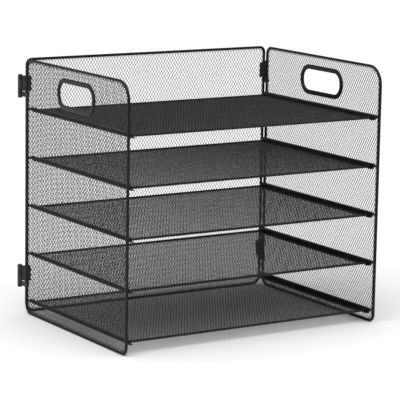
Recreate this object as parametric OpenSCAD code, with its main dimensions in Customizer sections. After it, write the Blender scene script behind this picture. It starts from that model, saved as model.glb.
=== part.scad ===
// Desktop file sorter: three hinged mesh panels standing on the desk and five
// shallow mesh trays that rest on wires welded inside the two side panels.
// Millimetres. +Z is up, the open front faces -Y, the back panel is at +Y.
// The origin is the centre of the whole footprint, on the desk.

/* [Panels] */
// Distance between the centre planes of the two side panels
panel_span = 324; // [300:1:350]
// Front to rear distance between the centrelines of a side panel's upright wires
panel_depth = 226; // [200:1:250]
// Distance between the centrelines of a panel's bottom and top wires
panel_height = 289.4; // [286:0.2:330]
// Diameter of the frame wire, with its coating
wire_d = 3.4; // [3.2:0.1:3.5]
// Thickness of the mesh sheet
mesh_t = 0.8; // [0.6:0.1:1]
// Bend radius of the side panel's front top corner
r_front_top = 20; // [12:1:30]
// Bend radius of the side panel's rear top corner
r_rear_top = 8; // [6:1:12]
// Bend radius of the side panel's front bottom corner
r_front_bottom = 8; // [6:1:9]
// Bend radius of the side panel's rear bottom corner
r_rear_bottom = 10; // [6:1:11]
// How far the back panel's upright wire stands in from the side panel's plane
back_inset = 1.8; // [1.6:0.1:2.4]
// How far the back panel's plane stands behind the side panel's rear wire
back_offset = 4.4; // [4.3:0.1:5]

/* [Handles] */
// Length of the hand hole in a side panel
handle_l = 72; // [60:1:80]
// Height of the hand hole
handle_h = 24; // [20:1:28]
// Corner radius of the hand hole
handle_r = 11; // [8:0.5:11.5]
// Width of the raised rim round the hand hole
rim_w = 5.6; // [4:0.2:7]
// Thickness of the rim through the panel
rim_t = 3; // [3:0.2:5]
// Height of the hand hole's centre above the desk
handle_z = 262.5; // [255:0.5:268]

/* [Trays] */
// Height of the lowest tray's rail top above the desk
tray_first = 17.1; // [16:0.1:20]
// Height from one tray to the next
tray_pitch = 55.2; // [48:0.2:55.4]
// Height of a tray's side rail
rail_h = 5.8; // [5.2:0.1:7]
// Thickness of the rail's folded sheet
rail_t = 0.9; // [0.7:0.1:1]
// Diameter of the tray's front and rear bars
bar_d = 3.4; // [3:0.1:3.8]
// How far the front bar stands behind the side panel's front wire
bar_recess = 10; // [7:0.2:14]
// Diameter of the support wires welded inside the side panels
support_d = 2.6; // [2.4:0.1:2.6]

/* [Hinges] */
// Height of a hinge with its pin heads
hinge_h = 26.5; // [24:0.5:30]
// Height of the lower hinges' bottom end above the desk
hinge_low_z = 29.3; // [26:0.1:34]
// Height of the upper hinges' bottom end above the desk
hinge_high_z = 247.3; // [242:0.1:250]
// Distance from the side panel's rear wire back to the hinge pin
pin_back = 10.4; // [9.6:0.1:12]
// Outer diameter of a hinge knuckle
knuckle_d = 5.4; // [5:0.1:6]
// Diameter of the hinge pin
pin_d = 2.6; // [2.2:0.1:3]

/* [Hidden] */

wire_r = wire_d / 2;
foot = 0.2;                       // depth of the small flats the bottom wires stand on
z_bottom = wire_r - foot;         // centreline of the bottom wires
pin_side = 3.4;                   // pin axis stands this far outside the panel's plane
hw = panel_span / 2;
// The footprint runs from the front wires to the backs of the hinge knuckles.
y_front = -(panel_depth - wire_r + pin_back + knuckle_d / 2) / 2;
y_rear = y_front + panel_depth;
y_back = y_rear + back_offset;    // plane of the back panel
bed = 0.3;                        // how far a mesh sheet's edge is let into its wire
back_w = panel_span - 2 * back_inset;
side_r = [r_front_bottom, r_rear_bottom, r_rear_top, r_front_top];
back_r = [10, 10, 6, 6];

// Left hinge: pin axis, side wire and back wire, seen from above
hinge_p = [-hw - pin_side, y_rear + pin_back];
hinge_s = [-hw, y_rear];
hinge_b = [-hw + back_inset, y_back];
sleeve_r = wire_r + 0.9;
head_h = 1.3;
knuckle_r = knuckle_d / 2;
seam = 7.5;                       // height of the seam between the two knuckles
leaf_t = 1;

rail_out = 2.4;                   // rail's outer edge, in from the panel's plane
web_in = rail_out + 3.4;          // rail's inner face, in from the panel's plane
rail_y0 = y_front;
rail_y1 = y_rear - 2.2;
bar_y = y_front + bar_recess;
rear_y = rail_y1 - bar_d / 2;
support_x = wire_r + support_d / 2 - 0.1;
support_gap = 0.35;               // rail flange rides this far above its wire

function tray_z(k) = tray_first + tray_pitch * (5 - k);

// Closed loop of a profile round a w by h rectangle in the XY plane.
// rs: corner radii, from the origin corner and on round. The child is the
// profile, with +X pointing out of the loop and +Y along the loop's normal.
module loop(w, h, rs) {
  translate([w - rs[1], 0, 0]) rotate([90, 0, -90]) linear_extrude(w - rs[0] - rs[1]) children();
  translate([w, h - rs[2], 0]) rotate([90, 0, 0]) linear_extrude(h - rs[1] - rs[2]) children();
  translate([rs[3], h, 0]) rotate([90, 0, 90]) linear_extrude(w - rs[2] - rs[3]) children();
  translate([0, rs[0], 0]) rotate([90, 0, 180]) linear_extrude(h - rs[0] - rs[3]) children();
  translate([w - rs[1], rs[1], 0]) rotate([0, 0, -90]) rotate_extrude(angle = 90, $fn = 64) translate([rs[1], 0]) children();
  translate([w - rs[2], h - rs[2], 0]) rotate_extrude(angle = 90, $fn = 64) translate([rs[2], 0]) children();
  translate([rs[3], h - rs[3], 0]) rotate([0, 0, 90]) rotate_extrude(angle = 90, $fn = 64) translate([rs[3], 0]) children();
  translate([rs[0], rs[0], 0]) rotate([0, 0, 180]) rotate_extrude(angle = 90, $fn = 64) translate([rs[0], 0]) children();
}

// Flat rectangle with its own radius at each corner
module rounded(w, h, rs) {
  difference() {
    square([w, h]);
    square([rs[0], rs[0]]);
    translate([w - rs[1], 0]) square([rs[1], rs[1]]);
    translate([w - rs[2], h - rs[2]]) square([rs[2], rs[2]]);
    translate([0, h - rs[3]]) square([rs[3], rs[3]]);
  }
  translate([rs[0], rs[0]]) circle(r = rs[0], $fn = 64);
  translate([w - rs[1], rs[1]]) circle(r = rs[1], $fn = 64);
  translate([w - rs[2], h - rs[2]]) circle(r = rs[2], $fn = 64);
  translate([rs[3], h - rs[3]]) circle(r = rs[3], $fn = 64);
}

module wire_loop(w, h, rs) { loop(w, h, rs) circle(r = wire_r, $fn = 32); }

// Outline of the mesh that fills a wire loop
module mesh_outline(w, h, rs) {
  e = wire_r - bed;
  translate([e, e]) rounded(w - 2 * e, h - 2 * e, [for (r = rs) r - e]);
}

// Takes the flats off the bottom wires
module on_desk() {
  difference() {
    children();
    translate([-300, -300, -20]) cube([600, 600, 20]);
  }
}

// Side panels lie in YZ planes: the drawing's X runs to the rear and its Y up.
module side_plane(s) {
  translate([s * hw, y_front, z_bottom]) rotate([90, 0, 90]) children();
}

module back_plane() {
  translate([-back_w / 2, y_back, z_bottom]) rotate([90, 0, 0]) children();
}

module side_frame(s) {
  color([0.10, 0.10, 0.11]) on_desk()
    side_plane(s) wire_loop(panel_depth, panel_height, side_r);
}

module hand_hole_place() {
  translate([panel_depth / 2, handle_z - z_bottom]) children();
}

module side_mesh(s) {
  color([0.16, 0.16, 0.17])
    side_plane(s) translate([0, 0, -mesh_t / 2]) linear_extrude(mesh_t)
      difference() {
        mesh_outline(panel_depth, panel_height, side_r);
        hand_hole_place() {
          g = 1.6;   // the sheet reaches into the rim's groove
          translate([-handle_l / 2 - g, -handle_h / 2 - g])
            rounded(handle_l + 2 * g, handle_h + 2 * g, [for (i = [0:3]) handle_r + g]);
        }
      }
}

// Rolled rim clamped round the edge of the hand hole, with a groove for the sheet
module handle_rim(s) {
  c = rim_w / 2;
  l = handle_l + rim_w;
  h = handle_h + rim_w;
  color([0.06, 0.06, 0.06])
    side_plane(s) translate([panel_depth / 2 - l / 2, handle_z - z_bottom - h / 2, 0])
      loop(l, h, [for (i = [0:3]) handle_r + c])
        difference() {
          intersection() {
            circle(d = rim_w, $fn = 48);
            square([rim_w + 1, rim_t], center = true);
          }
          translate([1.6 - c, -mesh_t / 2]) square([rim_w, mesh_t]);
        }
}

module support_wires(s) {
  color([0.09, 0.09, 0.10])
    for (k = [1:5])
      translate([s * (hw - support_x), y_front, tray_z(k) - rail_t - support_gap - support_d / 2])
        rotate([-90, 0, 0]) cylinder(d = support_d, h = panel_depth - 0.9, $fn = 32);
}

module back_frame() {
  color([0.10, 0.10, 0.11]) on_desk()
    back_plane() wire_loop(back_w, panel_height, back_r);
}

module back_mesh() {
  color([0.16, 0.16, 0.17])
    back_plane() translate([0, 0, -mesh_t / 2]) linear_extrude(mesh_t)
      mesh_outline(back_w, panel_height, back_r);
}

// Plan of a flat strip of leaf between a knuckle and a sleeve, from wall to wall
module strip(a, b) {
  d = b - a;
  u = 2;
  translate(a) rotate(atan2(d[1], d[0]))
    translate([u, -leaf_t / 2]) square([norm(d) - u - wire_r - 0.45, leaf_t]);
}

module ring_at(p, r) { translate(p) rotate(200) circle(r = r, $fn = 48); }

// Left hinge leaf welded round the side panel's rear wire: lower knuckle
module side_leaf(z) {
  color([0.12, 0.12, 0.13])
    translate([0, 0, z + head_h + 0.3]) linear_extrude(seam - 0.2 - head_h - 0.3) difference() {
      union() {
        ring_at(hinge_p, knuckle_r);
        strip(hinge_p, hinge_s);
        ring_at(hinge_s, sleeve_r);
      }
      ring_at(hinge_p, pin_d / 2 + 0.05);
      ring_at(hinge_s, wire_r - 0.05);
      translate([hinge_s[0] - mesh_t / 2, hinge_s[1] - 4]) square([mesh_t, 4]);
    }
}

// Left hinge leaf welded round the back panel's upright wire: upper knuckle
module back_leaf(z) {
  color([0.12, 0.12, 0.13])
    translate([0, 0, z + seam + 0.2]) linear_extrude(hinge_h - head_h - seam - 0.2) difference() {
      union() {
        ring_at(hinge_p, knuckle_r);
        strip(hinge_p, hinge_b);
        ring_at(hinge_b, sleeve_r);
        translate([hinge_b[0] + wire_r + 0.4, hinge_b[1] - 1.3]) square([3.1, 2.6]);
      }
      ring_at(hinge_p, pin_d / 2 - 0.03);
      ring_at(hinge_b, wire_r - 0.05);
      translate([hinge_b[0], hinge_b[1] - mesh_t / 2]) square([7, mesh_t]);
    }
}

module hinge_pin(z) {
  color([0.2, 0.2, 0.2]) translate([hinge_p[0], hinge_p[1], z]) {
    translate([0, 0, head_h / 2]) cylinder(d = pin_d, h = hinge_h - head_h, $fn = 48);
    cylinder(r1 = 1.7, r2 = 2.6, h = 0.6, $fn = 48);
    translate([0, 0, 0.6]) cylinder(r = 2.6, h = head_h - 0.6, $fn = 48);
    translate([0, 0, hinge_h - head_h]) cylinder(r = 2.6, h = head_h - 0.6, $fn = 48);
    translate([0, 0, hinge_h - 0.6]) cylinder(r1 = 2.6, r2 = 1.7, h = 0.6, $fn = 48);
  }
}

module right_side() { mirror([1, 0, 0]) children(); }

module tray_floor(k) {
  z = tray_z(k) - rail_h + rail_t;
  w = 2 * (hw - web_in) - 0.2;
  color([0.16, 0.16, 0.17])
    translate([-w / 2, bar_y + bar_d / 2 - 0.2, z])
      cube([w, rear_y - bar_y - bar_d + 0.4, mesh_t]);
}

module tray_bar(k, y) {
  w = 2 * (hw - web_in) + 0.4;
  color([0.08, 0.08, 0.08])
    translate([-w / 2, y, tray_z(k) - rail_h + bar_d / 2])
      rotate([0, 90, 0]) cylinder(d = bar_d, h = w, $fn = 32);
}

// Folded rail: upright web with a foot turned in under the floor, and a short
// foot of the same fold on the web's free end in front of the bar
module tray_rail(k) {
  z = tray_z(k);
  xi = -hw + web_in;
  color([0.13, 0.13, 0.14]) {
    translate([xi - rail_t, rail_y0, z - rail_h]) cube([rail_t, rail_y1 - rail_y0, rail_h]);
    translate([xi - rail_t, bar_y + bar_d / 2, z - rail_h])
      cube([rail_t + 6, rear_y - bar_y - bar_d, rail_t]);
    translate([xi - rail_t, rail_y0, z - rail_h])
      cube([rail_t + 3.4, bar_y - bar_d / 2 - rail_y0 - 0.3, rail_t]);
  }
}

// Flange turned out from the top of the web, which rides over the support wire
module tray_runner(k) {
  color([0.13, 0.13, 0.14])
    translate([-hw + rail_out, rail_y0, tray_z(k) - rail_t])
      cube([web_in - rail_out - rail_t, rail_y1 - rail_y0, rail_t]);
}

back_frame();
back_mesh();
side_frame(-1);  // left_frame
side_mesh(-1);  // left_mesh
handle_rim(-1);  // left_handle_rim
support_wires(-1);  // left_support_wires
side_frame(1);  // right_frame
side_mesh(1);  // right_mesh
handle_rim(1);  // right_handle_rim
support_wires(1);  // right_support_wires
side_leaf(hinge_high_z);  // left_top_hinge_side_leaf
back_leaf(hinge_high_z);  // left_top_hinge_back_leaf
hinge_pin(hinge_high_z);  // left_top_hinge_pin
side_leaf(hinge_low_z);  // left_bottom_hinge_side_leaf
back_leaf(hinge_low_z);  // left_bottom_hinge_back_leaf
hinge_pin(hinge_low_z);  // left_bottom_hinge_pin
right_side() side_leaf(hinge_high_z);  // right_top_hinge_side_leaf
right_side() back_leaf(hinge_high_z);  // right_top_hinge_back_leaf
right_side() hinge_pin(hinge_high_z);  // right_top_hinge_pin
right_side() side_leaf(hinge_low_z);  // right_bottom_hinge_side_leaf
right_side() back_leaf(hinge_low_z);  // right_bottom_hinge_back_leaf
right_side() hinge_pin(hinge_low_z);  // right_bottom_hinge_pin
tray_floor(1);  // tray_1_floor
tray_bar(1, bar_y);  // tray_1_front_bar
tray_bar(1, rear_y);  // tray_1_rear_bar
tray_rail(1);  // tray_1_left_rail
right_side() tray_rail(1);  // tray_1_right_rail
tray_runner(1);  // tray_1_left_runner
right_side() tray_runner(1);  // tray_1_right_runner
tray_floor(2);  // tray_2_floor
tray_bar(2, bar_y);  // tray_2_front_bar
tray_bar(2, rear_y);  // tray_2_rear_bar
tray_rail(2);  // tray_2_left_rail
right_side() tray_rail(2);  // tray_2_right_rail
tray_runner(2);  // tray_2_left_runner
right_side() tray_runner(2);  // tray_2_right_runner
tray_floor(3);  // tray_3_floor
tray_bar(3, bar_y);  // tray_3_front_bar
tray_bar(3, rear_y);  // tray_3_rear_bar
tray_rail(3);  // tray_3_left_rail
right_side() tray_rail(3);  // tray_3_right_rail
tray_runner(3);  // tray_3_left_runner
right_side() tray_runner(3);  // tray_3_right_runner
tray_floor(4);  // tray_4_floor
tray_bar(4, bar_y);  // tray_4_front_bar
tray_bar(4, rear_y);  // tray_4_rear_bar
tray_rail(4);  // tray_4_left_rail
right_side() tray_rail(4);  // tray_4_right_rail
tray_runner(4);  // tray_4_left_runner
right_side() tray_runner(4);  // tray_4_right_runner
tray_floor(5);  // tray_5_floor
tray_bar(5, bar_y);  // tray_5_front_bar
tray_bar(5, rear_y);  // tray_5_rear_bar
tray_rail(5);  // tray_5_left_rail
right_side() tray_rail(5);  // tray_5_right_rail
tray_runner(5);  // tray_5_left_runner
right_side() tray_runner(5);  // tray_5_right_runner
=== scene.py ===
import math

import bpy
import numpy as np
from mathutils import Matrix, Vector


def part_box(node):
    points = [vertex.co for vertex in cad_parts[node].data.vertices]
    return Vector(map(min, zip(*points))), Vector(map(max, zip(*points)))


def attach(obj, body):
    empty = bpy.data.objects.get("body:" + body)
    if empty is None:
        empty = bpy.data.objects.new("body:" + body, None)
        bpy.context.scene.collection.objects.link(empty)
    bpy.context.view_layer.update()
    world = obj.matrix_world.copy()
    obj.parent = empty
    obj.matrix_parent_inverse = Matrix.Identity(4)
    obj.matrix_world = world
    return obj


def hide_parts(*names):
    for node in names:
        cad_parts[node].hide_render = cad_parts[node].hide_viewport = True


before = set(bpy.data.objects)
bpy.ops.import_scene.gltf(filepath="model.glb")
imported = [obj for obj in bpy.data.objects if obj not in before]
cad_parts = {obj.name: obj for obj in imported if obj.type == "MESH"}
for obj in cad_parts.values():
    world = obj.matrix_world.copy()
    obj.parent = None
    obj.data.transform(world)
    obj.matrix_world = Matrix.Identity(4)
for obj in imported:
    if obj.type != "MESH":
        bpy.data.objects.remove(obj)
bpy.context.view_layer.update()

MM = 0.001
rng = np.random.default_rng(7)
COL = bpy.context.scene.collection


# ---------------------------------------------------------------- positions

def cbox(node):
    lo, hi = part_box(node)
    return np.array(lo) / MM, np.array(hi) / MM


LF_lo, LF_hi = cbox("left_frame")
RF_lo, RF_hi = cbox("right_frame")
BF_lo, BF_hi = cbox("back_frame")
WR = (LF_hi[0] - LF_lo[0]) / 2            # frame wire radius, coating and wrap included
HW = (RF_lo[0] + RF_hi[0]) / 2            # side panel planes stand at x = -HW and +HW
YF = LF_lo[1] + WR                        # front wire
YR = LF_hi[1] - WR                        # rear wire
ZT = LF_hi[2] - WR                        # top wire
ZB = WR - 0.2                             # bottom wire, with its small flat on the desk
YB = (BF_lo[1] + BF_hi[1]) / 2            # back panel plane
BX = BF_hi[0] - WR                        # back panel's upright wires at x = -BX and +BX
SIDE_R = [8.0, 10.0, 8.0, 20.0]           # front bottom, rear bottom, rear top, front top
BACK_R = [10.0, 10.0, 6.0, 6.0]

# expanded mesh
P = 3.7                                   # pitch across the diamonds
Q = 2.97                                  # height of one row; the rows are staggered
SW = 0.44                                 # strand width
ST = 0.20                                 # half of the strand's thickness


# ---------------------------------------------------------------- mesh helpers

def make(name, verts, quads, tris, mat, smooth=True, attr=None):
    """A mesh object from arrays in millimetres."""
    me = bpy.data.meshes.new(name)
    verts = np.asarray(verts, float)
    quads = np.asarray(quads, np.int64).reshape(-1, 4)
    tris = np.asarray(tris, np.int64).reshape(-1, 3)
    me.vertices.add(len(verts))
    me.vertices.foreach_set("co", (verts * MM).astype(np.float32).ravel())
    loops = np.concatenate([quads.ravel(), tris.ravel()]).astype(np.int32)
    starts = np.concatenate([
        np.arange(len(quads)) * 4,
        len(quads) * 4 + np.arange(len(tris)) * 3,
    ]).astype(np.int32)
    me.loops.add(len(loops))
    me.loops.foreach_set("vertex_index", loops)
    me.polygons.add(len(starts))
    me.polygons.foreach_set("loop_start", starts)
    me.update(calc_edges=True)
    me.validate()
    me.polygons.foreach_set("use_smooth", np.full(len(me.polygons), smooth))
    if attr is not None:
        a = me.attributes.new("ridge", "FLOAT", "POINT")
        a.data.foreach_set("value", np.asarray(attr, np.float32))
    me.update()
    ob = bpy.data.objects.new(name, me)
    COL.objects.link(ob)
    ob.data.materials.append(mat)
    return ob


class Shape:
    """Several closed shells that become one mesh."""

    def __init__(self):
        self.v, self.q, self.t, self.n = [], [], [], 0

    def add(self, v, q=(), t=()):
        v = np.asarray(v, float).reshape(-1, 3)
        if len(q):
            self.q.append(np.asarray(q, np.int64).reshape(-1, 4) + self.n)
        if len(t):
            self.t.append(np.asarray(t, np.int64).reshape(-1, 3) + self.n)
        self.v.append(v)
        self.n += len(v)

    def arrays(self):
        v = np.concatenate(self.v)
        q = np.concatenate(self.q) if self.q else np.zeros((0, 4), np.int64)
        t = np.concatenate(self.t) if self.t else np.zeros((0, 3), np.int64)
        return v, q, t

    def mirrored(self):
        s = Shape()
        v, q, t = self.arrays()
        v = v.copy()
        v[:, 0] *= -1
        s.add(v, q[:, ::-1], t[:, ::-1])
        return s

    def make(self, name, mat, smooth=True):
        v, q, t = self.arrays()
        return make(name, v, q, t, mat, smooth)


def place(ob, body, slot, *nodes):
    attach(ob, body)
    if nodes:
        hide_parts(*nodes)
    return ob


def rings_to_faces(nr, m, closed):
    """Quads that join nr rings of m points each."""
    i = np.arange(nr if closed else nr - 1)[:, None]
    j = np.arange(m)[None, :]
    a = i * m + j
    b = i * m + (j + 1) % m
    c = ((i + 1) % nr) * m + (j + 1) % m
    d = ((i + 1) % nr) * m + j
    return np.stack([a, b, c, d], -1).reshape(-1, 4)


def circle(r, m=16, phase=0.0):
    t = np.arange(m) / m * 2 * math.pi + phase
    return np.stack([np.cos(t) * r, np.sin(t) * r], -1)


def rod(shape, a, b, r, m=16, cap=0.5, wobble=0.0, steps=1):
    """A straight round rod whose ends are rounded over, from a to b."""
    a, b = np.asarray(a, float), np.asarray(b, float)
    d = b - a
    L = np.linalg.norm(d)
    d = d / L
    up = np.array([0, 0, 1.0]) if abs(d[2]) < 0.9 else np.array([0, 1.0, 0])
    x = np.cross(up, d)
    x /= np.linalg.norm(x)
    y = np.cross(d, x)
    stations = []
    k = 4
    for i in range(k + 1):
        f = i / k * math.pi / 2
        stations.append((cap - cap * math.sin(f), r - cap + cap * math.cos(f)))
    stations = stations[::-1]                 # from the end face outward to full radius
    prof = [(s, rr) for s, rr in stations]
    mid = [(cap + (L - 2 * cap) * i / steps, r) for i in range(1, steps)]
    full = prof + mid + [(L - s, rr) for s, rr in prof[::-1]]
    pts = []
    for s, rr in full:
        w = wobble * math.sin(s * 0.11 + a[0]) if 0 < s < L else 0.0
        c = a + d * s + y * w
        th = np.arange(m) / m * 2 * math.pi
        pts.append(c + np.outer(np.cos(th) * rr, x) + np.outer(np.sin(th) * rr, y))
    v = np.concatenate(pts)
    q = rings_to_faces(len(full), m, False)
    n = len(v)
    v = np.concatenate([v, [a + d * full[0][0]], [a + d * full[-1][0]]])
    j = np.arange(m)
    t0 = np.stack([np.full(m, n), (j + 1) % m, j], -1)
    base = (len(full) - 1) * m
    t1 = np.stack([np.full(m, n + 1), base + j, base + (j + 1) % m], -1)
    shape.add(v, q, np.concatenate([t0, t1]))


def blob(shape, c, r, seed, m=10, squash=(1, 1, 1)):
    """A small uneven weld nugget."""
    g = np.random.default_rng(seed)
    k = 6
    v = []
    for i in range(1, k):
        f = i / k * math.pi
        for j in range(m):
            th = j / m * 2 * math.pi
            rr = r * (1 + 0.14 * (g.random() - 0.5))
            v.append([rr * math.sin(f) * math.cos(th) * squash[0],
                      rr * math.sin(f) * math.sin(th) * squash[1],
                      rr * math.cos(f) * squash[2]])
    v = np.array(v)
    q = rings_to_faces(k - 1, m, False)[:, ::-1]
    n = len(v)
    v = np.concatenate([v, [[0, 0, r * squash[2]]], [[0, 0, -r * squash[2]]]]) + np.asarray(c, float)
    j = np.arange(m)
    t0 = np.stack([np.full(m, n), j, (j + 1) % m], -1)
    base = (k - 2) * m
    t1 = np.stack([np.full(m, n + 1), base + (j + 1) % m, base + j], -1)
    shape.add(v, q, np.concatenate([t0, t1]))


# ---------------------------------------------------------------- rounded loops

class Loop:
    """A rounded rectangle in (u, v) with its own radius at each corner, from the low corner and on round."""

    def __init__(self, u0, v0, u1, v1, rs):
        self.b = (u0, v0, u1, v1)
        self.rs = rs
        self.cc = [(u0 + rs[0], v0 + rs[0]), (u1 - rs[1], v0 + rs[1]),
                   (u1 - rs[2], v1 - rs[2]), (u0 + rs[3], v1 - rs[3])]

    def sd(self, p):
        """Signed distance outward of each point and the outward direction there."""
        u0, v0, u1, v1 = self.b
        u, v = p[:, 0], p[:, 1]
        sides = np.stack([v0 - v, u - u1, v - v1, u0 - u], -1)
        k = sides.argmax(1)
        d = sides[np.arange(len(p)), k]
        dirs = np.array([[0, -1], [1, 0], [0, 1], [-1, 0]], float)
        n = dirs[k]
        quad = [(-1, -1), (1, -1), (1, 1), (-1, 1)]
        for (cu, cv), r, (su, sv) in zip(self.cc, self.rs, quad):
            inside = ((u - cu) * su > 0) & ((v - cv) * sv > 0)
            w = np.stack([u - cu, v - cv], -1)
            L = np.maximum(np.linalg.norm(w, axis=1), 1e-9)
            d = np.where(inside, L - r, d)
            n = np.where(inside[:, None], w / L[:, None], n)
        return d, n

    def points(self, step=8.0, arc=10):
        """Points round the loop, anticlockwise, with their outward directions."""
        u0, v0, u1, v1 = self.b
        angs = [(-180, -90), (-90, 0), (0, 90), (90, 180)]
        pts, nrm = [], []
        for k, ((cu, cv), r) in enumerate(zip(self.cc, self.rs)):
            a0, a1 = angs[k]
            arcp = []
            for i in range(arc + 1):
                t = math.radians(a0 + (a1 - a0) * i / arc)
                arcp.append(((cu + r * math.cos(t), cv + r * math.sin(t)), (math.cos(t), math.sin(t))))
            if pts:
                (pu, pv), pn = pts[-1], nrm[-1]
                (qu, qv) = arcp[0][0]
                L = math.hypot(qu - pu, qv - pv)
                m = max(1, int(L / step))
                for i in range(1, m):
                    pts.append((pu + (qu - pu) * i / m, pv + (qv - pv) * i / m))
                    nrm.append(pn)
            for q, n in arcp:
                pts.append(q)
                nrm.append(n)
        (pu, pv), pn = pts[-1], nrm[-1]
        (qu, qv) = pts[0]
        L = math.hypot(qu - pu, qv - pv)
        m = max(1, int(L / step))
        for i in range(1, m):
            pts.append((pu + (qu - pu) * i / m, pv + (qv - pv) * i / m))
            nrm.append(pn)
        return np.array(pts), np.array(nrm)


def sweep_loop(loop, profile, plane, step=8.0, arc=10, floor_at=None, wobble=0.0, seed=0):
    """A closed tube of the profile (a outward, b along the plane's normal) round the loop. plane maps (u, v, w) to x, y, z."""
    pts, nrm = loop.points(step, arc)
    m = len(profile)
    out = []
    g = np.random.default_rng(seed)
    ph = g.random(4) * 6.28
    run = np.concatenate([[0], np.cumsum(np.linalg.norm(np.diff(pts, axis=0), axis=1))])
    for i, (p, n) in enumerate(zip(pts, nrm)):
        w = wobble * (math.sin(run[i] * 0.031 + ph[0]) + 0.6 * math.sin(run[i] * 0.083 + ph[1]))
        uvw = np.stack([p[0] + n[0] * profile[:, 0], p[1] + n[1] * profile[:, 0], profile[:, 1] + w], -1)
        out.append(plane(uvw))
    v = np.concatenate(out)
    if floor_at is not None:
        v[:, 2] = np.maximum(v[:, 2], floor_at)
    return v, rings_to_faces(len(pts), m, True)


# ---------------------------------------------------------------- expanded mesh

def wrap_path(dT, b0, R, b1, tail, centre_b=0.0):
    """Dense line (a, b) that the sheet follows round a wire at (0, centre_b): in along b0, up over the wire and back to b1. a is outward."""
    pts = [(-dT, b0)]
    # tangent from the start point to the upper side of the circle
    px, pz = -dT, b0 - centre_b
    D = math.hypot(px, pz)
    base = math.atan2(pz, px)
    off = math.acos(min(1.0, R / D))
    a_start = base - off                    # contact on the upper side
    qx, qz = -dT, b1 - centre_b
    D2 = math.hypot(qx, qz)
    base2 = math.atan2(qz, qx)
    off2 = math.acos(min(1.0, R / D2))
    a_end = base2 + off2
    while a_end > a_start:
        a_end -= 2 * math.pi
    for i in range(49):
        t = a_start + (a_end - a_start) * i / 48
        pts.append((R * math.cos(t), centre_b + R * math.sin(t)))
    pts.append((-dT, b1))
    if tail > 0:
        pts.append((-dT - tail, b1))
    pts = np.array(pts)
    # round off the corners of the line a little
    L = np.concatenate([[0], np.cumsum(np.linalg.norm(np.diff(pts, axis=0), axis=1))])
    s = np.linspace(0, L[-1], 400)
    line = np.stack([np.interp(s, L, pts[:, 0]), np.interp(s, L, pts[:, 1])], -1)
    k = np.hanning(25)
    k /= k.sum()
    pad = 12
    ext = np.concatenate([
        line[0] + np.outer(np.arange(-pad, 0), [s[1], 0]),
        line,
        line[-1] + np.outer(np.arange(1, pad + 1), line[-1] - line[-2]),
    ])
    sm = np.stack([np.convolve(ext[:, i], k, "valid") for i in range(2)], -1)
    t = np.gradient(sm, axis=0)
    t /= np.linalg.norm(t, axis=1)[:, None]
    nrm = np.stack([-t[:, 1], t[:, 0]], -1)
    return s, sm, nrm, L[-1]


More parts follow.
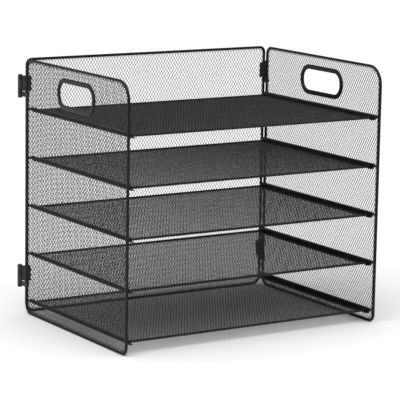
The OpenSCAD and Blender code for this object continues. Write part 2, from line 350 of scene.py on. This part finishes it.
def diamond_sheet(u0, v0, u1, v1, keep, place_pts, flip, phase=(0.0, 0.0), six=False, sw=SW, st=ST, tilt=0.10):
    """Expanded mesh over a rectangle. keep says which diamonds stay, by their centres, and place_pts maps (u, v, w) to x, y, z."""
    j0, j1 = int(math.floor((v0 - phase[1]) / Q)), int(math.ceil((v1 - phase[1]) / Q))
    i0, i1 = int(math.floor((u0 - phase[0]) / P)), int(math.ceil((u1 - phase[0]) / P))
    jj, ii = np.meshgrid(np.arange(j0, j1 + 1), np.arange(i0, i1 + 1), indexing="ij")
    jj, ii = jj.ravel(), ii.ravel()
    a = 2 * ii + (jj % 2)                  # in half pitches
    cu, cv = a * P / 2 + phase[0], jj * Q + phase[1]
    ok = keep(np.stack([cu, cv], -1))
    a, jj, cu, cv = a[ok], jj[ok], cu[ok], cv[ok]
    n = len(a)
    # corners right, top, left, bottom
    ka = np.stack([a + 1, a, a - 1, a], -1)
    kj = np.stack([jj, jj + 1, jj, jj - 1], -1)
    key = (kj.astype(np.int64) + 5000) * 20000 + (ka + 5000)
    uniq, inv = np.unique(key.ravel(), return_inverse=True)
    inv = inv.reshape(n, 4)
    ca = (uniq % 20000) - 5000
    cj = (uniq // 20000) - 5000
    nc = len(uniq)
    cpos = np.stack([ca * P / 2 + phase[0], cj * Q + phase[1]], -1)
    # hole outline
    L = math.hypot(P / 2, Q)
    nx, ny = Q / L, (P / 2) / L
    inset = (P / 2) * nx - sw / 2
    hw, hh = inset / nx, inset / ny
    tx, ty = hw * 0.86, hh * 0.885
    ex = (hw - tx) * hh / hw
    ey = (hh - ty) * hw / hh
    hole = np.array([(tx, -ex), (tx, ex), (ey, ty), (-ey, ty), (-tx, ex), (-tx, -ex), (-ey, -ty), (ey, -ty)])
    if six:
        hole = np.array([(hw * 0.95, 0.0), (ey, ty), (-ey, ty), (-hw * 0.95, 0.0), (-ey, -ty), (ey, -ty)])
    nh = len(hole)
    hz = tilt * np.sign(hole[:, 1]) * np.minimum(1, np.abs(hole[:, 1]) / ty)
    jit = rng.normal(0, 0.018, (n, nh, 2))
    hp = np.stack([cu, cv], -1)[:, None, :] + hole[None] + jit
    hz = np.repeat(hz[None], n, 0)
    cz = rng.normal(0, 0.012, nc)
    uvw = np.concatenate([
        np.column_stack([cpos, cz + st]),
        np.column_stack([cpos, cz - st]),
        np.column_stack([hp.reshape(-1, 2), hz.ravel()]),
    ])
    top = inv
    bot = inv + nc
    h = 2 * nc + np.arange(n)[:, None] * nh + np.arange(nh)[None]
    R_, T_, L_, B_ = 0, 1, 2, 3
    quads, tris = [], []
    for C, s in ((top, 1), (bot, -1)):
        if not six:
            q = [(C[:, R_], C[:, T_], h[:, 2], h[:, 1]), (C[:, T_], C[:, L_], h[:, 4], h[:, 3]),
                 (C[:, L_], C[:, B_], h[:, 6], h[:, 5]), (C[:, B_], C[:, R_], h[:, 0], h[:, 7])]
            t = [(C[:, R_], h[:, 1], h[:, 0]), (C[:, T_], h[:, 3], h[:, 2]),
                 (C[:, L_], h[:, 5], h[:, 4]), (C[:, B_], h[:, 7], h[:, 6])]
        else:
            q = [(C[:, R_], C[:, T_], h[:, 1], h[:, 0]), (C[:, T_], C[:, L_], h[:, 3], h[:, 2]),
                 (C[:, L_], C[:, B_], h[:, 4], h[:, 3]), (C[:, B_], C[:, R_], h[:, 0], h[:, 5])]
            t = [(C[:, T_], h[:, 2], h[:, 1]), (C[:, B_], h[:, 5], h[:, 4])]
        q = np.concatenate([np.stack(x, -1) for x in q])
        t = np.concatenate([np.stack(x, -1) for x in t])
        quads.append(q[:, ::s])
        tris.append(t[:, ::s])
    # walls where the next diamond is missing
    e = np.concatenate([np.stack([inv[:, R_], inv[:, T_]], -1), np.stack([inv[:, T_], inv[:, L_]], -1),
                        np.stack([inv[:, L_], inv[:, B_]], -1), np.stack([inv[:, B_], inv[:, R_]], -1)])
    ek = np.minimum(e[:, 0], e[:, 1]) * (nc + 1) + np.maximum(e[:, 0], e[:, 1])
    u, first, cnt = np.unique(ek, return_index=True, return_counts=True)
    b = e[first[cnt == 1]]
    quads.append(np.stack([b[:, 0], b[:, 0] + nc, b[:, 1] + nc, b[:, 1]], -1))
    quads = np.concatenate(quads)
    tris = np.concatenate(tris)
    if flip:
        quads, tris = quads[:, ::-1], tris[:, ::-1]
    xyz = place_pts(uvw)
    attr = np.concatenate([np.ones(2 * nc), np.zeros(nh * n)])
    return xyz, quads, tris, attr


def wrapped(loop, path, plane, hole=None):
    """place_pts for a sheet whose edge follows path round the loop's wire. hole is an inner Loop that the sheet's edge keeps outside of."""
    s_tab, ab, nrm, total = path
    dT = -ab[0][0]

    def f(uvw):
        p, w = uvw[:, :2].copy(), uvw[:, 2].copy()
        if hole is not None:
            d, n = hole.sd(p)
            want = np.where(d < 4.2, 4.2 - (4.2 - d) * (3.0 / 7.2), d)
            p = p + n * (want - d)[:, None]
        d, n = loop.sd(p)
        s = d + dT
        out = np.column_stack([p, w + 0.0])
        m = s > 0
        c = p[m] - n[m] * d[m][:, None]
        sm = np.minimum(s[m], total)
        a = np.interp(sm, s_tab, ab[:, 0])
        b = np.interp(sm, s_tab, ab[:, 1])
        na = np.interp(sm, s_tab, nrm[:, 0])
        nb = np.interp(sm, s_tab, nrm[:, 1])
        ww = w[m]
        rad = a + na * ww
        out[m, :2] = c + n[m] * rad[:, None]
        out[m, 2] = b + nb * ww
        b0 = ab[0][1]
        out[~m, 2] += b0
        return plane(out)
    return f, total, dT


# ---------------------------------------------------------------- materials

def nd(nt, kind, **kw):
    n = nt.nodes.new(kind)
    for k, v in kw.items():
        setattr(n, k, v)
    return n


def coat(name, dark, light, rough, peel=0.35, peel_scale=1700, blotch=90, rough_var=0.07, wear=0.0, use_ridge=False, spec=0.5):
    """Satin powder coat over steel: slow colour blotches, dust in the grain, orange peel and rubbed edges."""
    m = bpy.data.materials.new(name)
    m.use_nodes = True
    nt = m.node_tree
    nt.nodes.clear()
    out = nd(nt, "ShaderNodeOutputMaterial")
    bs = nd(nt, "ShaderNodeBsdfPrincipled")
    bs.inputs["Specular IOR Level"].default_value = spec
    bs.inputs["IOR"].default_value = 1.5
    bs.inputs["Metallic"].default_value = 0.0
    nt.links.new(bs.outputs[0], out.inputs[0])
    tc = nd(nt, "ShaderNodeTexCoord")
    n1 = nd(nt, "ShaderNodeTexNoise")
    n1.inputs["Scale"].default_value = blotch
    n1.inputs["Detail"].default_value = 4
    n1.inputs["Roughness"].default_value = 0.6
    nt.links.new(tc.outputs["Object"], n1.inputs["Vector"])
    n2 = nd(nt, "ShaderNodeTexNoise")
    n2.inputs["Scale"].default_value = peel_scale
    n2.inputs["Detail"].default_value = 2
    nt.links.new(tc.outputs["Object"], n2.inputs["Vector"])
    ramp = nd(nt, "ShaderNodeValToRGB")
    ramp.color_ramp.elements[0].position = 0.36
    ramp.color_ramp.elements[0].color = (*dark, 1)
    ramp.color_ramp.elements[1].position = 0.68
    ramp.color_ramp.elements[1].color = (*light, 1)
    nt.links.new(n1.outputs["Fac"], ramp.inputs["Fac"])
    col = ramp.outputs["Color"]
    # fine speckle of the powder
    mix = nd(nt, "ShaderNodeMix", data_type="RGBA", blend_type="OVERLAY")
    mix.inputs["Factor"].default_value = 0.35
    nt.links.new(col, mix.inputs["A"])
    nt.links.new(n2.outputs["Color"], mix.inputs["B"])
    bw = nd(nt, "ShaderNodeRGBToBW")
    nt.links.new(n2.outputs["Color"], bw.inputs[0])
    nt.links.new(bw.outputs[0], mix.inputs["B"])
    col = mix.outputs["Result"]
    # rubbed edges
    if wear > 0:
        if use_ridge:
            src = nd(nt, "ShaderNodeAttribute", attribute_name="ridge").outputs["Fac"]
            lo, hi = 0.72, 1.0
        else:
            src = nd(nt, "ShaderNodeNewGeometry").outputs["Pointiness"]
            lo, hi = 0.52, 0.60
        mr = nd(nt, "ShaderNodeMapRange")
        mr.inputs["From Min"].default_value = lo
        mr.inputs["From Max"].default_value = hi
        mr.inputs["To Min"].default_value = 0.0
        mr.inputs["To Max"].default_value = wear
        nt.links.new(src, mr.inputs["Value"])
        mul = nd(nt, "ShaderNodeMath", operation="MULTIPLY")
        nt.links.new(mr.outputs[0], mul.inputs[0])
        nt.links.new(n1.outputs["Fac"], mul.inputs[1])
        mw = nd(nt, "ShaderNodeMix", data_type="RGBA")
        nt.links.new(mul.outputs[0], mw.inputs["Factor"])
        nt.links.new(col, mw.inputs["A"])
        mw.inputs["B"].default_value = (0.16, 0.155, 0.15, 1)
        col = mw.outputs["Result"]
    nt.links.new(col, bs.inputs["Base Color"])
    rr = nd(nt, "ShaderNodeMapRange")
    rr.inputs["From Min"].default_value = 0.3
    rr.inputs["From Max"].default_value = 0.7
    rr.inputs["To Min"].default_value = rough - rough_var
    rr.inputs["To Max"].default_value = rough + rough_var
    nt.links.new(n1.outputs["Fac"], rr.inputs["Value"])
    nt.links.new(rr.outputs[0], bs.inputs["Roughness"])
    bp = nd(nt, "ShaderNodeBump")
    bp.inputs["Strength"].default_value = peel
    bp.inputs["Distance"].default_value = 0.00006
    nt.links.new(n2.outputs["Fac"], bp.inputs["Height"])
    nt.links.new(bp.outputs[0], bs.inputs["Normal"])
    return m


M_mesh = coat("coat_mesh", (0.012, 0.0105, 0.009), (0.034, 0.030, 0.026), 0.44, 0.25, 2400, 70, wear=0.20, use_ridge=True, spec=0.26)
M_tmesh = coat("coat_tray_mesh", (0.024, 0.0225, 0.021), (0.050, 0.0465, 0.043), 0.54, 0.25, 2400, 70, wear=0.12, use_ridge=True, spec=0.18)
M_wire = coat("coat_wire", (0.0025, 0.0023, 0.0021), (0.008, 0.0073, 0.0067), 0.36, 0.3, 1500, 60, wear=0.15, spec=0.20)
M_rim = coat("coat_rim", (0.0018, 0.0016, 0.0014), (0.006, 0.0054, 0.0047), 0.22, 0.25, 1500, 80, wear=0.08, spec=0.27)
M_support = coat("coat_support", (0.0025, 0.0023, 0.0021), (0.008, 0.0073, 0.0067), 0.36, 0.3, 1500, 60, wear=0.15, spec=0.20)
M_bar = coat("coat_bar", (0.0025, 0.0023, 0.0021), (0.008, 0.0073, 0.0067), 0.30, 0.3, 1500, 60, wear=0.15, spec=0.24)
M_rail = coat("coat_rail", (0.003, 0.0028, 0.0026), (0.011, 0.0101, 0.0093), 0.34, 0.3, 1300, 50, wear=0.3, spec=0.24)
M_leaf = coat("coat_hinge", (0.002, 0.002, 0.002), (0.008, 0.0079, 0.0078), 0.42, 0.45, 1100, 120, wear=0.35, spec=0.20)
M_pin = coat("hinge_pin_finish", (0.005, 0.0045, 0.004), (0.018, 0.016, 0.014), 0.34, 0.35, 1100, 150, wear=0.35, spec=0.26)


# ---------------------------------------------------------------- panels

def side_plane(s):
    def f(uvw):
        return np.column_stack([s * (HW + uvw[:, 2]), uvw[:, 0], uvw[:, 1]])
    return f


def back_plane(uvw):
    return np.column_stack([uvw[:, 0], YB - uvw[:, 2], uvw[:, 1]])


R_WRAP = WR - ST - 0.06                   # middle of the sheet where it goes round the wire
R_CORE = 1.56                             # wire inside the wrap, with the paint that fills the gap
PATH = wrap_path(3.1, 0.0, R_WRAP, -0.36, 2.6)

HR_lo, HR_hi = cbox("left_handle_rim")
hy0, hy1, hz0, hz1 = HR_lo[1], HR_hi[1], HR_lo[2], HR_hi[2]
RIM_W = 5.6
rim_T = HR_hi[0] - HR_lo[0]


def panel(name, loop, plane, flip, hole, phase, six=False, sw=0.70):
    f, total, dT = wrapped(loop, PATH, plane, hole)

    def keep(c):
        d, _ = loop.sd(c)
        ok = d + dT < total - Q - 0.05
        if hole is not None:
            dh, _ = hole.sd(c)
            ok &= dh > 0.2
        return ok

    u0, v0, u1, v1 = loop.b
    m = total
    v, q, t, attr = diamond_sheet(u0 - m, v0 - m, u1 + m, v1 + m, keep, f, flip, phase, six, sw)
    v[:, 2] = np.maximum(v[:, 2], 0.02)
    return make(name, v, q, t, M_mesh, True, attr)


side_loop = Loop(YF, ZB, YR, ZT, SIDE_R)
back_loop = Loop(-BX, ZB, BX, ZT, BACK_R)
hole_loop = Loop(hy0 + RIM_W, hz0 + RIM_W, hy1 - RIM_W, hz1 - RIM_W, [11.0] * 4)

for s, side in ((-1, "left"), (1, "right")):
    ob = panel(f"{side}_panel_sheet", side_loop, side_plane(s), s < 0, hole_loop, (YF + 0.6, ZB + 0.2))
    place(ob, f"{side}_panel", "panel_mesh", f"{side}_mesh")
    sh = Shape()
    prof = circle(R_CORE, 16)
    v, q = sweep_loop(side_loop, prof, side_plane(s), floor_at=0.03, seed=11 + s)
    sh.add(v, q[:, ::-1] if s < 0 else q)
    ob = sh.make(f"{side}_panel_wire", M_wire)
    place(ob, f"{side}_panel", "frame_wire", f"{side}_frame")

    # rolled rim of the hand hole
    c = RIM_W / 2
    rl = Loop(hy0 + c, hz0 + c, hy1 - c, hz1 - c, [11.0 + c] * 4)
    th = np.linspace(0, 2 * math.pi, 28, endpoint=False)
    ex = 2.6
    a = np.sign(np.cos(th)) * np.abs(np.cos(th)) ** (2 / ex) * (RIM_W / 2 - 0.1)
    b = np.sign(np.sin(th)) * np.abs(np.sin(th)) ** (2 / ex) * (rim_T / 2)
    b = b - np.sign(b) * 0.3 * np.exp(-(a / 0.8) ** 2)      # shallow groove between the two rolled lips
    prof = np.stack([a, b], -1)
    v, q = sweep_loop(rl, prof, side_plane(s), step=6, arc=14, seed=21)
    sh = Shape()
    sh.add(v, q[:, ::-1] if s < 0 else q)
    ob = sh.make(f"{side}_hand_hole_rim", M_rim)
    place(ob, f"{side}_panel", "handle_rim", f"{side}_handle_rim")

    # support wires and their welds
    sh = Shape()
    slo, shi = cbox(f"{side}_support_wires")
    sx = (slo[0] + shi[0]) / 2
    r = (shi[0] - slo[0]) / 2
    for k in range(1, 6):
        z = cbox(f"tray_{k}_{side}_runner")[0][2] - 0.35 - r
        rod(sh, (sx, slo[1], z), (sx, shi[1], z), r, 14, 0.7, 0.03, 12)
        for y, sd in ((YF, 1), (YR, 2)):
            blob(sh, (sx + s * 0.9, y, z - 0.2), 1.35, 100 * k + sd, squash=(0.9, 1.0, 1.3))
    ob = sh.make(f"{side}_support_wire_set", M_support)
    place(ob, f"{side}_panel", "support_wire", f"{side}_support_wires")

ob = panel("back_panel_sheet", back_loop, back_plane, False, None, (0.0, ZB + 0.2), True, 0.43)
place(ob, "back_panel", "panel_mesh", "back_mesh")
sh = Shape()
v, q = sweep_loop(back_loop, circle(R_CORE, 16), back_plane, floor_at=0.03, seed=17)
sh.add(v, q)
ob = sh.make("back_panel_wire", M_wire)
place(ob, "back_panel", "frame_wire", "back_frame")


# ---------------------------------------------------------------- trays

def rail_mesh(k, s):
    """One folded rail: runner, web and foot in a single bent sheet, built from the left rail's parts. s is not used."""
    lo, hi = cbox(f"tray_{k}_left_rail")
    rlo, rhi = cbox(f"tray_{k}_left_runner")
    flo, fhi = cbox(f"tray_{k}_floor")
    blo, bhi = cbox(f"tray_{k}_front_bar")
    qlo, qhi = cbox(f"tray_{k}_rear_bar")
    t = rhi[2] - rlo[2]
    x_out, x_in = rlo[0], rhi[0] + t       # outer edge, inner face of the web
    ztop, zbot = hi[2], lo[2]
    y0, y1 = lo[1], hi[1]
    foot_in = hi[0] - x_in
    yb0, yb1 = blo[1], bhi[1]
    yr0 = qlo[1]

    def section(xo, zb, foot):
        """Outline of the sheet, seen along +Y, from the runner's outer edge round to the foot's end and back."""
        pts = []
        rb, ro = 0.35, 0.35 + t           # inner and outer bend radii

        def arc(cx, cz, r, a0, a1, n=4):
            for i in range(n + 1):
                a = math.radians(a0 + (a1 - a0) * i / n)
                pts.append((cx + r * math.cos(a), cz + r * math.sin(a)))
        # runner's outer edge, rounded
        arc(xo + t / 2, ztop - t / 2, t / 2, 270, 90, 4)
        # top outer bend at the web's inner face
        arc(x_in - ro, ztop - ro, ro, 90, 0, 4)
        # down the inner face to the foot's top
        f = max(foot, 0.0)
        if f > 0.5:
            arc(x_in + rb, zb + t + rb, rb, 180, 270, 4)
            arc(x_in + f - t / 2, zb + t / 2, t / 2, 90, -90, 4)
        else:
            arc(x_in - t / 2 + 0.001, zb + t / 2, t / 2, 0, -45, 4)
            arc(x_in - t / 2, zb + t / 2, t / 2, -45, -90, 4)
        # bottom outer bend
        rr = ro if f > 0.5 else t / 2
        arc(x_in - t + rr, zb + rr, rr, 270, 180, 4)
        # inner bend under the runner
        arc(x_in - t - rb, ztop - t - rb, rb, 0, 90, 4)
        return pts

    st = []
    rcorner = 2.2
    for i in range(5):
        a = math.radians(90 * i / 4)
        st.append((y0 + rcorner * (1 - math.cos(a)), rcorner * (1 - math.sin(a))))
    sts = []
    tab = 3.4
    for y, e in st:
        sts.append((y, x_out + min(e, 1.4), zbot + e * 0.9, 0.0 if y < y0 + 0.8 else tab))
    sts.append((yb0 - 0.6, x_out, zbot, tab))
    sts.append((yb0 - 0.3, x_out, zbot, 0.0))
    sts.append((yb1 + 0.1, x_out, zbot, 0.0))
    sts.append((yb1 + 0.4, x_out, zbot, foot_in))
    n = 14
    for i in range(1, n):
        sts.append((yb1 + 0.4 + (yr0 - yb1 - 0.8) * i / n, x_out, zbot, foot_in))
    sts.append((yr0 - 0.4, x_out, zbot, foot_in))
    sts.append((yr0 - 0.1, x_out, zbot, 0.0))
    for y, e in st[::-1]:
        yy = y1 - (y - y0)
        sts.append((yy, x_out + min(e, 1.4), zbot + e * 0.9, 0.0))
    secs = [section(a, b, c) for _, a, b, c in sts]
    m = len(secs[0])
    assert all(len(x) == m for x in secs)
    v = np.array([[x, y, z] for (y, *_), sec in zip(sts, secs) for x, z in sec])
    q = rings_to_faces(len(secs), m, False)
    return v, q, m, len(secs)


def cap_sections(ob, m, nr):
    """Closes the two ends of a swept sheet."""
    import bmesh
    bm = bmesh.new()
    bm.from_mesh(ob.data)
    bm.verts.ensure_lookup_table()
    bm.faces.new([bm.verts[i] for i in range(m)])
    bm.faces.new([bm.verts[(nr - 1) * m + i] for i in reversed(range(m))])
    bmesh.ops.recalc_face_normals(bm, faces=bm.faces)
    bm.to_mesh(ob.data)
    bm.free()
    ob.data.update()


def floor_plane(z):
    def f(uvw):
        return np.column_stack([uvw[:, 0], uvw[:, 1], z + uvw[:, 2]])
    return f


for k in range(1, 6):
    body = f"tray_{k}"
    flo, fhi = cbox(f"tray_{k}_floor")
    blo, bhi = cbox(f"tray_{k}_front_bar")
    qlo, qhi = cbox(f"tray_{k}_rear_bar")
    br = (bhi[2] - blo[2]) / 2
    bz = (bhi[2] + blo[2]) / 2
    by = (bhi[1] + blo[1]) / 2
    ry = (qhi[1] + qlo[1]) / 2
    zf = flo[2] + 0.32
    R2 = br - 0.22 - 0.06
    drop = zf - bz
    path = wrap_path(3.4, drop, R2, drop - 0.38, 2.6, 0.0)
    total = path[3]
    xe = fhi[0] - 0.25

    def tray_pts(uvw, by=by, ry=ry, bz=bz, path=path):
        s_tab, ab, nrm, total = path
        u, v, w = uvw[:, 0], uvw[:, 1], uvw[:, 2]
        out = np.column_stack([u, v, bz + drop + w])
        for yb, sg in ((by, -1), (ry, 1)):
            d = (v - yb) * sg
            s = d + 3.4
            m = s > 0
            sm = np.minimum(s[m], total)
            a = np.interp(sm, s_tab, ab[:, 0])
            b = np.interp(sm, s_tab, ab[:, 1])
            na = np.interp(sm, s_tab, nrm[:, 0])
            nb = np.interp(sm, s_tab, nrm[:, 1])
            out[m, 1] = yb + sg * (a + na * w[m])
            out[m, 2] = bz + b + nb * w[m]
        return out

    def keep(c, by=by, ry=ry, total=total):
        return (np.abs(c[:, 0]) + P / 2 < xe + 0.01) & (c[:, 1] > by + 3.4 - total + Q + 0.05) & (c[:, 1] < ry - 3.4 + total - Q - 0.05)

    v, q, t, attr = diamond_sheet(-xe - 3, by - total, xe + 3, ry + total, keep, tray_pts, False, (0.0, by + 0.7), sw=0.72, st=0.26, tilt=0.26)
    ob = make(f"tray_{k}_mesh_sheet", v, q, t, M_tmesh, True, attr)
    place(ob, body, "tray_mesh", f"tray_{k}_floor")

    for nm, (lo, hi) in (("front", (blo, bhi)), ("rear", (qlo, qhi))):
        sh = Shape()
        yc = (lo[1] + hi[1]) / 2
        rod(sh, (lo[0], yc, bz), (hi[0], yc, bz), R2 - 0.22, 14, 0.2, 0.0, 16)
        for sx in (-1, 1):
            blob(sh, (sx * (hi[0] - 0.7), yc, bz), br - 0.05, 40 * k + sx + (7 if nm == "rear" else 0), squash=(0.5, 1.0, 1.0))
        ob = sh.make(f"tray_{k}_{nm}_bar_wire", M_bar)
        place(ob, body, "tray_bar", f"tray_{k}_{nm}_bar")

    for s, side in ((-1, "left"), (1, "right")):
        v, q, m, nr = rail_mesh(k, s)
        if s > 0:
            v = v.copy()
            v[:, 0] *= -1
            q = q[:, ::-1]
        ob = make(f"tray_{k}_{side}_folded_rail", v, q, [], M_rail)
        cap_sections(ob, m, nr)
        place(ob, body, "tray_rail", f"tray_{k}_{side}_rail", f"tray_{k}_{side}_runner")
        for p in ob.data.polygons:
            p.use_smooth = True


# ---------------------------------------------------------------- hinges

for side in ("left", "right"):
    for lv in ("top", "bottom"):
        for part, mat in (("side_leaf", M_leaf), ("back_leaf", M_leaf), ("pin", M_pin)):
            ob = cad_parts[f"{side}_{lv}_hinge_{part}"]
            ob.data.materials.clear()
            ob.data.materials.append(mat)
            b = ob.modifiers.new("edge_bevel", "BEVEL")
            b.width = 0.00022
            b.segments = 2
            b.limit_method = "ANGLE"
            b.angle_limit = math.radians(40)
            b.use_clamp_overlap = True


# ---------------------------------------------------------------- stage

def plain(name, col, rough):
    m = bpy.data.materials.new(name)
    m.use_nodes = True
    b = m.node_tree.nodes["Principled BSDF"]
    b.inputs["Base Color"].default_value = (*col, 1)
    b.inputs["Roughness"].default_value = rough
    b.inputs["Specular IOR Level"].default_value = 0.1
    b.inputs["Emission Color"].default_value = (1, 1, 1, 1)
    b.inputs["Emission Strength"].default_value = 0.04
    return m


me = bpy.data.meshes.new("desk")
S = 1.9
me.from_pydata([(-S, -S, 0), (S, -S, 0), (S, S, 0), (-S, S, 0)], [], [(0, 1, 2, 3)])
me.materials.append(plain("pale_desk", (0.93, 0.93, 0.93), 0.7))
desk = bpy.data.objects.new("desk", me)
COL.objects.link(desk)

world = bpy.data.worlds.new("studio")
bpy.context.scene.world = world
world.use_nodes = True
nt = world.node_tree
nt.nodes.clear()
wo = nt.nodes.new("ShaderNodeOutputWorld")
b1 = nt.nodes.new("ShaderNodeBackground")
b1.inputs[0].default_value = (1, 1, 1, 1)
b1.inputs[1].default_value = 1.02
b2 = nt.nodes.new("ShaderNodeBackground")
b2.inputs[0].default_value = (1, 1, 1, 1)
b2.inputs[1].default_value = 0.50
mx = nt.nodes.new("ShaderNodeMixShader")
lp = nt.nodes.new("ShaderNodeLightPath")
nt.links.new(lp.outputs["Is Camera Ray"], mx.inputs[0])
nt.links.new(b2.outputs[0], mx.inputs[1])
nt.links.new(b1.outputs[0], mx.inputs[2])
nt.links.new(mx.outputs[0], wo.inputs[0])


def area(name, loc, target, size, power):
    li = bpy.data.lights.new(name, "AREA")
    li.shape = "RECTANGLE"
    li.size, li.size_y = size
    li.energy = power
    ob = bpy.data.objects.new(name, li)
    COL.objects.link(ob)
    ob.location = loc
    ob.rotation_mode = "QUATERNION"
    ob.rotation_quaternion = (Vector(target) - Vector(loc)).to_track_quat("-Z", "Y")
    return ob


key = bpy.data.lights.new("overhead", "SUN")
key.energy = 1.85
key.angle = math.radians(80)
ko = bpy.data.objects.new("overhead", key)
COL.objects.link(ko)
ko.rotation_euler = (math.radians(10), math.radians(-14), 0)

area("left_softbox", (-2.0, -0.5, 1.5), (0, 0, 0.2), (1.0, 1.0), 9)
area("right_softbox", (1.9, -1.5, 1.3), (0, 0, 0.2), (0.9, 0.9), 6)

cam = bpy.data.cameras.new("camera")
cam.lens = 190.2
cam.sensor_width = 36
cam.clip_start = 0.05
cam.clip_end = 60
co = bpy.data.objects.new("camera", cam)
COL.objects.link(co)
az, el, ro = map(math.radians, (-32.36, 10.292, 0.9985))
d = Vector((math.sin(az) * math.cos(el), -math.cos(az) * math.cos(el), math.sin(el)))
f = -d
r = f.cross(Vector((0, 0, 1))).normalized()
u = r.cross(f)
r2 = math.cos(ro) * r + math.sin(ro) * u
u2 = -math.sin(ro) * r + math.cos(ro) * u
mw = Matrix.Identity(4)
for i in range(3):
    mw[i][0], mw[i][1], mw[i][2] = r2[i], u2[i], -f[i]
mw[0][3], mw[1][3], mw[2][3] = -1.2563, -1.9858, 0.5623
co.matrix_world = mw
bpy.context.scene.camera = co
bpy.context.scene.view_settings.view_transform = "Standard"
bpy.context.scene.view_settings.look = "None"
